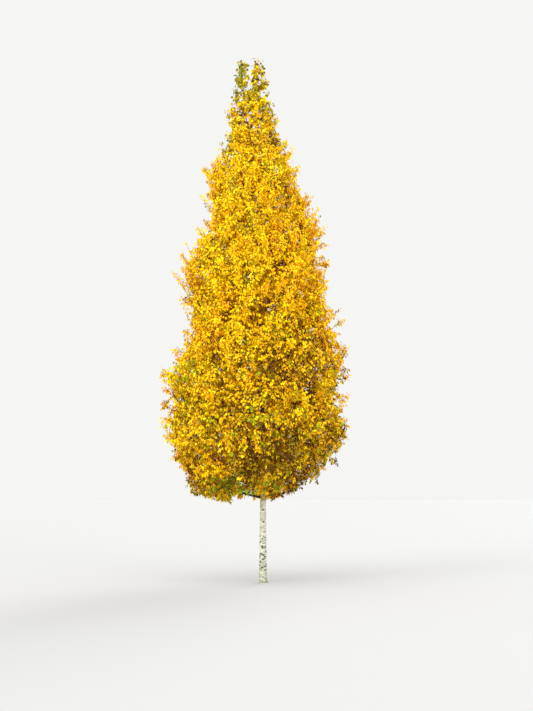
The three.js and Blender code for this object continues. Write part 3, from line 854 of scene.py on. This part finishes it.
def tube_points(paths, radii, sides):
    """Points of tubes along paths, shaped (tube, ring, 3), with radii shaped (tube, ring)."""
    axis = unit(np.gradient(paths, axis=1))
    whole = unit(paths[:, -1] - paths[:, 0])[:, None]
    level = across(whole)[0]
    first = unit(level - (level * axis).sum(-1, keepdims=True) * axis)
    second = np.cross(axis, first)
    turns = 2 * np.pi * np.arange(sides) / sides
    ring = np.cos(turns)[:, None] * first[:, :, None] + np.sin(turns)[:, None] * second[:, :, None]
    return paths[:, :, None] + np.asarray(radii)[..., None, None] * ring


def make_tubes(name, curves, radii, material, sides, steps):
    """One piece with a tapering tube along each curve, thinner at the open top of the crown."""
    t = np.linspace(0, 1, steps + 1)
    paths = on_curve(curves[:, None], t)
    taper = lerp(*radii, t) * lerp(1, TOP_TWIG, openness(paths[..., 2]))
    points = tube_points(paths, taper, sides).reshape(-1, 3)
    return make_piece(name, points, tube_faces(len(curves), steps + 1, sides), material)


def noise_waves(points, scale, depth):
    """Smooth random waves at points, between -depth and depth, with a scale in waves to the metre."""
    scale = Vector(scale)
    waves = [depth * noise.noise(Vector(point) * scale) for point in points.reshape(-1, 3)]
    return np.array(waves).reshape(points.shape[:-1])


# Materials
def linear(colour):
    """A colour written as six hex digits in sRGB, as the linear numbers that the shaders take."""
    parts = [int(colour[i : i + 2], 16) / 255 for i in (0, 2, 4)]
    return [part / 12.92 if part <= 0.04045 else ((part + 0.055) / 1.055) ** 2.4 for part in parts] + [1]


def new_material(name, colour, roughness, gloss=0.5):
    material = bpy.data.materials.new(name)
    material.use_nodes = True
    shader = material.node_tree.nodes["Principled BSDF"]
    shader.inputs["Base Color"].default_value = linear(colour)
    shader.inputs["Roughness"].default_value = roughness
    shader.inputs["Specular IOR Level"].default_value = gloss
    return material, material.node_tree, shader


def leaf_material(name, colour):
    return new_material(name, colour, LEAF_ROUGHNESS, LEAF_GLOSS)[0]


def add(tree, kind, values=(), **settings):
    node = tree.nodes.new(kind)
    for key, value in settings.items():
        setattr(node, key, value)
    for key, value in dict(values).items():
        node.inputs[key].default_value = value
    return node


def noise_at(tree, scale, detail=4, roughness=0.55):
    """Noise over the piece, stretched by a scale for each axis."""
    place = add(tree, "ShaderNodeTexCoord")
    mapping = add(tree, "ShaderNodeMapping", {"Scale": scale})
    tree.links.new(place.outputs["Object"], mapping.inputs["Vector"])
    texture = add(tree, "ShaderNodeTexNoise", {"Scale": 1, "Detail": detail, "Roughness": roughness})
    tree.links.new(mapping.outputs["Vector"], texture.inputs["Vector"])
    return texture.outputs["Fac"]


def ramp(tree, factor, low, high):
    """A factor drawn out between two of its values."""
    limits = {"From Min": low, "From Max": high}
    node = add(tree, "ShaderNodeMapRange", limits, interpolation_type="SMOOTHSTEP")
    tree.links.new(factor, node.inputs["Value"])
    return node.outputs["Result"]


def mix(tree, factor, first, second):
    """A mix of two colours, each a socket or six hex digits."""
    node = add(tree, "ShaderNodeMix", data_type="RGBA")
    tree.links.new(factor, node.inputs["Factor"])
    for socket, colour in zip((node.inputs[6], node.inputs[7]), (first, second)):
        if isinstance(colour, str):
            socket.default_value = linear(colour)
        else:
            tree.links.new(colour, socket)
    return node.outputs[2]


def attribute(tree, name):
    return add(tree, "ShaderNodeAttribute", attribute_name=name).outputs["Fac"]


def add_bump(tree, shader, height, strength, distance):
    bump = add(tree, "ShaderNodeBump", {"Strength": strength, "Distance": distance})
    tree.links.new(height, bump.inputs["Height"])
    tree.links.new(bump.outputs["Normal"], shader.inputs["Normal"])


def trunk_material():
    """White bark with dark level marks, rough and dark at the foot, and brown inside the crown as
    painted shade and as the young stem's bark.
    """
    material, tree, shader = new_material("trunk_bark", TRUNK_BARK["white"], roughness=0.7)
    clouds = ramp(tree, noise_at(tree, scale=(7, 7, 16)), 0.4, 0.65)
    tone = mix(tree, clouds, TRUNK_BARK["white"], TRUNK_BARK["grey"])
    bands = ramp(tree, noise_at(tree, scale=(9, 9, 150), detail=3), 0.57, 0.71)
    tone = mix(tree, bands, tone, TRUNK_BARK["band"])
    # The brown field is painted shade inside the crown, and the young stem's bark higher up
    for field in ("brown", "mark", "moss"):
        tone = mix(tree, attribute(tree, field), tone, TRUNK_BARK[field])
    tree.links.new(tone, shader.inputs["Base Color"])
    grain = noise_at(tree, scale=(30, 30, 210), detail=5, roughness=0.65)
    add_bump(tree, shader, grain, strength=0.5, distance=0.002)
    return material


def bough_material():
    """Dark young bark with paler lenticels."""
    material, tree, shader = new_material("bough_bark", BOUGH_BARK["dark"], roughness=0.75, gloss=0.2)
    clouds = ramp(tree, noise_at(tree, scale=(14, 14, 14)), 0.35, 0.7)
    tone = mix(tree, clouds, BOUGH_BARK["dark"], BOUGH_BARK["light"])
    lenticels = ramp(tree, noise_at(tree, scale=(60, 60, 90), detail=2), 0.62, 0.7)
    tone = mix(tree, lenticels, tone, BOUGH_BARK["lenticel"])
    tree.links.new(tone, shader.inputs["Base Color"])
    add_bump(tree, shader, noise_at(tree, scale=(50, 50, 120)), strength=0.5, distance=0.0015)
    return material


def twig_material(name, dark, light):
    """Red-brown bark, in tones that drift over the crown."""
    material, tree, shader = new_material(name, dark, roughness=0.7, gloss=0.1)
    clouds = ramp(tree, noise_at(tree, scale=(9, 9, 9), detail=2), 0.4, 0.6)
    tree.links.new(mix(tree, clouds, dark, light), shader.inputs["Base Color"])
    return material


# Pieces
def declare(piece, slot, *nodes):
    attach(piece, "root")
    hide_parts(*nodes)


def nodes_named(*starts):
    return [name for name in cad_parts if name.startswith(starts)]


def trunk_marks(rng):
    """Dark marks as a height, a side and the values of a Mark each."""
    low = rng.random(MARKS) < LOW_SHARE
    heights = np.where(low, rng.uniform(*LOW_HEIGHTS, MARKS), rng.uniform(*MARK_HEIGHTS, MARKS))
    large = rng.random(MARKS) < LARGE_SHARE
    kinds = (LARGE_MARK, SMALL_MARK)
    widths = np.where(large, *[rng.uniform(*kind.width, MARKS) for kind in kinds])
    thicknesses = np.where(large, *[rng.uniform(*kind.thickness, MARKS) for kind in kinds])
    drops = np.where(large, *[rng.normal(0, kind.drop, MARKS) for kind in kinds])
    relief = np.where(large, *[kind.relief for kind in kinds])
    marks = np.stack([heights, rng.uniform(0, 2 * np.pi, MARKS), widths, thicknesses, drops, relief], 1)
    front = [(height, math.radians(side), *FRONT_MARK) for height, side in FRONT_MARKS]
    feet = [mark for mass in masses[:BOUGHS] for mark in bough_marks(mass)]
    return np.concatenate([marks, front, feet])


def bough_marks(mass):
    """The dark patch at the foot of a bough, and the line that droops on both sides of it."""
    path = along(mass.curve, BOUGH_FOOT_PLACES)
    centre = trunk_centre(path[:, 2])
    outside = np.hypot(*(path - centre)[:, :2].T) > trunk_radius(path[:, 2])
    x, y, height = (path - centre * (1, 1, 0))[outside.argmax()]
    side = math.atan2(y, x)
    marks = ((height - BOUGH_PATCH_DROP, BOUGH_PATCH), (height + BOUGH_LINE_RISE, BOUGH_LINE))
    return [(middle, side, *mark) for middle, mark in marks]


def mark_fields(heights, sides, marks):
    """How dark each place of the trunk is, and how far it stands out."""
    dark = np.zeros((len(heights), len(sides)))
    relief = np.zeros_like(dark)
    for height, side, width, thick, drop, stand in marks:
        rows = np.abs(heights - height) < MARK_REACH
        turn = (sides - side + np.pi) % (2 * np.pi) - np.pi
        up = (heights[rows, None] - height + drop * np.abs(turn)) / thick
        shape = np.exp(-(up**4) - (turn / width) ** 4)
        dark[rows] = np.maximum(dark[rows], shape)
        relief[rows] += stand * shape
    return dark, relief


def add_field(piece, name, values):
    layer = piece.data.attributes.new(name, "FLOAT", "POINT")
    layer.data.foreach_set("value", values.astype(np.float32).ravel())


def fading(heights, reach):
    """How strongly something at the foot shows at heights, if it fades over that reach."""
    return np.exp(-heights / reach)[:, None]


def trunk_relief(heights, sides, smooth, marks_relief):
    """How far the bark stands out by the flare's lobes, its waves and its marks."""
    turns = FLARE_LOBES["count"] * sides + FLARE_LOBES["turn"]
    lobes = FLARE_LOBES["depth"] * fading(heights, FLARE_LOBES["height"]) * np.cos(turns)
    slenderness = np.clip(trunk_radius(heights) / TRUNK_FOOT_RADIUS, 0, 1)[:, None]
    waves = sum(noise_waves(smooth, scale, depth) for scale, depth in TRUNK_WAVES)
    return lobes + (waves + marks_relief) * slenderness


def foot_cracks(heights, smooth, furrows):
    """How dark the bark is in the furrows of the foot and in the net of cracks over them."""
    network = 1 - smoothstep(np.abs(noise_waves(smooth, *NETWORK)), *NETWORK_EDGE)
    network = network * np.exp(-((heights / NETWORK_HEIGHT) ** 2))[:, None]
    return np.maximum(smoothstep(-furrows, *FURROW_EDGE), NETWORK_DARKNESS * network)


def make_trunk(rng):
    bare = np.arange(0, BARE_TOP, RING_STEP_BARE)
    heights = np.concatenate([bare, np.arange(BARE_TOP, TRUNK_TOP, RING_STEP_INSIDE), [TRUNK_TOP]])
    sides = 2 * np.pi * np.arange(TRUNK_MESH_SIDES) / TRUNK_MESH_SIDES
    dark, marks_relief = mark_fields(heights, sides, trunk_marks(rng))
    towards = turned(sides)[None]
    smooth = trunk_centre(heights)[:, None] + trunk_radius(heights)[:, None, None] * towards
    rough_foot = fading(heights, ROUGH_FOOT)
    furrows = noise_waves(smooth, *FURROWS) * rough_foot
    extra = trunk_relief(heights, sides, smooth, marks_relief) + furrows
    points = (smooth + extra[..., None] * towards).reshape(-1, 3)
    faces = tube_faces(1, len(heights), len(sides))
    trunk = make_piece("trunk_bark_relief", points, faces, trunk_material())
    patchy = noise_waves(smooth, *PATCHY_BARK)
    cracks = foot_cracks(heights, smooth, furrows)
    moss = MOSS["most"] * fading(heights, MOSS["height"]) + MOSS["patchy"] * patchy * rough_foot
    add_field(trunk, "mark", np.maximum(dark, CRACK_DARKNESS * cracks))
    # Brown upwards: painted shade inside the crown, and the young stem's bark higher up
    add_field(trunk, "brown", smoothstep(heights[:, None] + patchy, *BARK_BROWN_AND_SHADE_HEIGHTS))
    add_field(trunk, "moss", np.clip(moss, 0, MOSS["limit"]))
    declare(trunk, "trunk_bark", "trunk")


def make_limbs():
    t = np.linspace(0, 1, LIMB_RINGS)
    paths = np.stack([along(mass.curve, t) for mass in masses])
    length = np.linalg.norm(paths[:, -1] - paths[:, 0], axis=1)[:, None]
    foot_radii = np.array([mass.foot_radius for mass in masses])[:, None]
    out_of_trunk = t * length - trunk_radius(paths[:, :1, 2])
    collar = 1 + LIMB_COLLAR * np.exp(-np.clip(out_of_trunk, 0, None) / COLLAR_LENGTH)
    radii = lerp(foot_radii, STEM_TIP_RADIUS, t) * collar
    points = tube_points(paths, radii, LIMB_SIDES)
    outward = unit(points - paths[:, :, None])
    relief = noise_waves(points, LIMB_WAVES, 1) * LIMB_RELIEF * radii[..., None]
    points = (points + outward * relief[..., None]).reshape(-1, 3)
    faces = tube_faces(len(masses), LIMB_RINGS, LIMB_SIDES)
    limb_piece = make_piece("limbs", points, faces, bough_material())
    declare(limb_piece, "bough_bark", *nodes_named("bough_", "limb_"))


def leaf_faces(faces, points, count, start):
    """The faces of leaves, as indices into their points, one leaf after another from a start on."""
    return (faces + start + points * np.arange(count)[:, None, None]).reshape(-1, 3)


def make_leaf_piece(name, full, plain, material):
    points = np.concatenate([full.reshape(-1, 3), plain.reshape(-1, 3)])
    faces = np.concatenate([
        leaf_faces(LEAF_FACES, len(LEAF_POINTS), len(full), 0),
        leaf_faces(INNER_LEAF_FACES, INNER_LEAF_POINTS, len(plain), len(LEAF_POINTS) * len(full)),
    ])
    piece = make_piece(name, points, [faces], material, smooth=False)
    declare(piece, "foliage", *nodes_named("foliage_"))


def make_leaf_pieces(leaves, tints, inside):
    """Pieces for each tint, with its leaves near the outline in full and plainer ones inside."""
    for place, (name, (colour, _, _)) in enumerate(TINTS.items()):
        material = leaf_material(f"leaf_{name}", colour)
        full = leaves[(tints == place) & ~inside]
        plain = leaves[(tints == place) & inside, :INNER_LEAF_POINTS]
        triangles = len(full) * len(LEAF_FACES) + len(plain) * len(INNER_LEAF_FACES)
        parts = math.ceil(triangles / TRIANGLES_IN_PIECE)
        shares = zip(np.array_split(full, parts), np.array_split(plain, parts))
        for part, (some_full, some_plain) in enumerate(shares, 1):
            make_leaf_piece(f"leaves_{name}_{part}", some_full, some_plain, material)


def grow_crown(rng):
    """Curves of the twigs of both orders, of the spurs and of the shoots."""
    first, first_owners = first_twigs()
    fine = fine_twigs(first, first_owners, rng)
    first, fine = first[~crosses_gap(first)], fine[~crosses_gap(fine)]
    twigs = np.concatenate([first, fine])
    spurs = grow_spurs(twigs, rng)
    stem_ends = np.array([split_curve(mass.stem, 1 - STEM_END)[1] for mass in masses])
    shoots = np.concatenate([
        grow_shoots(np.concatenate([twigs, stem_ends]), SHOOTS_ON_TWIG, SHOOT_LENGTH, 0, rng),
        grow_shoots(spurs, SHOOTS_ON_SPUR, SPUR_SHOOT_LENGTH, SPUR_EXTRA, rng),
    ])
    return first, fine, spurs, np.concatenate([shoots, fill_gaps(shoots, rng)])


def make_crown(rng):
    first, fine, spurs, shoots = grow_crown(rng)
    tips = np.array([split_curve(mass.stem, TIP_START)[1] for mass in masses[-len(LEADERS):]])
    leaves, tints, inside = grow_leaves(np.concatenate([shoots, tips]), rng)
    bark = twig_material("twig_bark", *TWIG_BARK)
    young_bark = twig_material("shoot_bark", *SHOOT_BARK)
    pieces = [
        make_tubes("twigs", first, TWIG_RADIUS, bark, sides=5, steps=6),
        make_tubes("fine_twigs", fine, FINE_RADIUS, bark, sides=4, steps=4),
        make_tubes("spurs", spurs, SPUR_RADIUS, bark, sides=3, steps=3),
        make_tubes("shoots", shoots, SHOOT_RADIUS, young_bark, sides=3, steps=1),
    ]
    for piece in pieces:
        declare(piece, "bough_bark", *nodes_named("foliage_"))
    make_leaf_pieces(leaves, tints, inside)


# Stage
def make_floor():
    bpy.ops.mesh.primitive_plane_add(size=FLOOR["size"])
    floor = bpy.context.object
    floor.name = "floor"
    floor.data.materials.append(new_material("floor", FLOOR["colour"], FLOOR["roughness"])[0])


def add_lamp(name, place, width, strength):
    """A soft lamp: a sun with a wide disc, which lights the tree evenly from foot to top."""
    light = bpy.data.lights.new(name, "SUN")
    light.angle = math.radians(width)
    light.energy = strength
    lamp = bpy.data.objects.new(name, light)
    lamp.location = place
    lamp.rotation_euler = (Vector(LAMP_TARGET) - lamp.location).to_track_quat("-Z", "Y").to_euler()
    bpy.context.scene.collection.objects.link(lamp)


def make_studio():
    for name, (place, width, strength) in LAMPS.items():
        add_lamp(name, place, width, strength)
    world = bpy.data.worlds.new("studio")
    world.use_nodes = True
    background = world.node_tree.nodes["Background"]
    background.inputs["Color"].default_value = linear(BACKGROUND["colour"])
    background.inputs["Strength"].default_value = BACKGROUND["strength"]
    bpy.context.scene.world = world
    bpy.context.scene.view_settings.view_transform = "Standard"


def make_camera():
    """A camera at the photograph's angle: at eye level, 18 m in front of the trunk, pitched up."""
    camera = bpy.data.objects.new("camera", bpy.data.cameras.new("camera"))
    camera.data.lens = LENS
    camera.data.sensor_width = SENSOR_WIDTH
    camera.data.clip_end = FARTHEST_VIEW
    camera.location = CAMERA_PLACE
    camera.rotation_euler = (math.radians(90 + CAMERA_PITCH), 0, 0)
    bpy.context.scene.collection.objects.link(camera)
    bpy.context.scene.camera = camera


make_camera()
make_floor()
make_studio()
make_trunk(np.random.default_rng(SEED))
make_limbs()
make_crown(np.random.default_rng(SEED + 1))
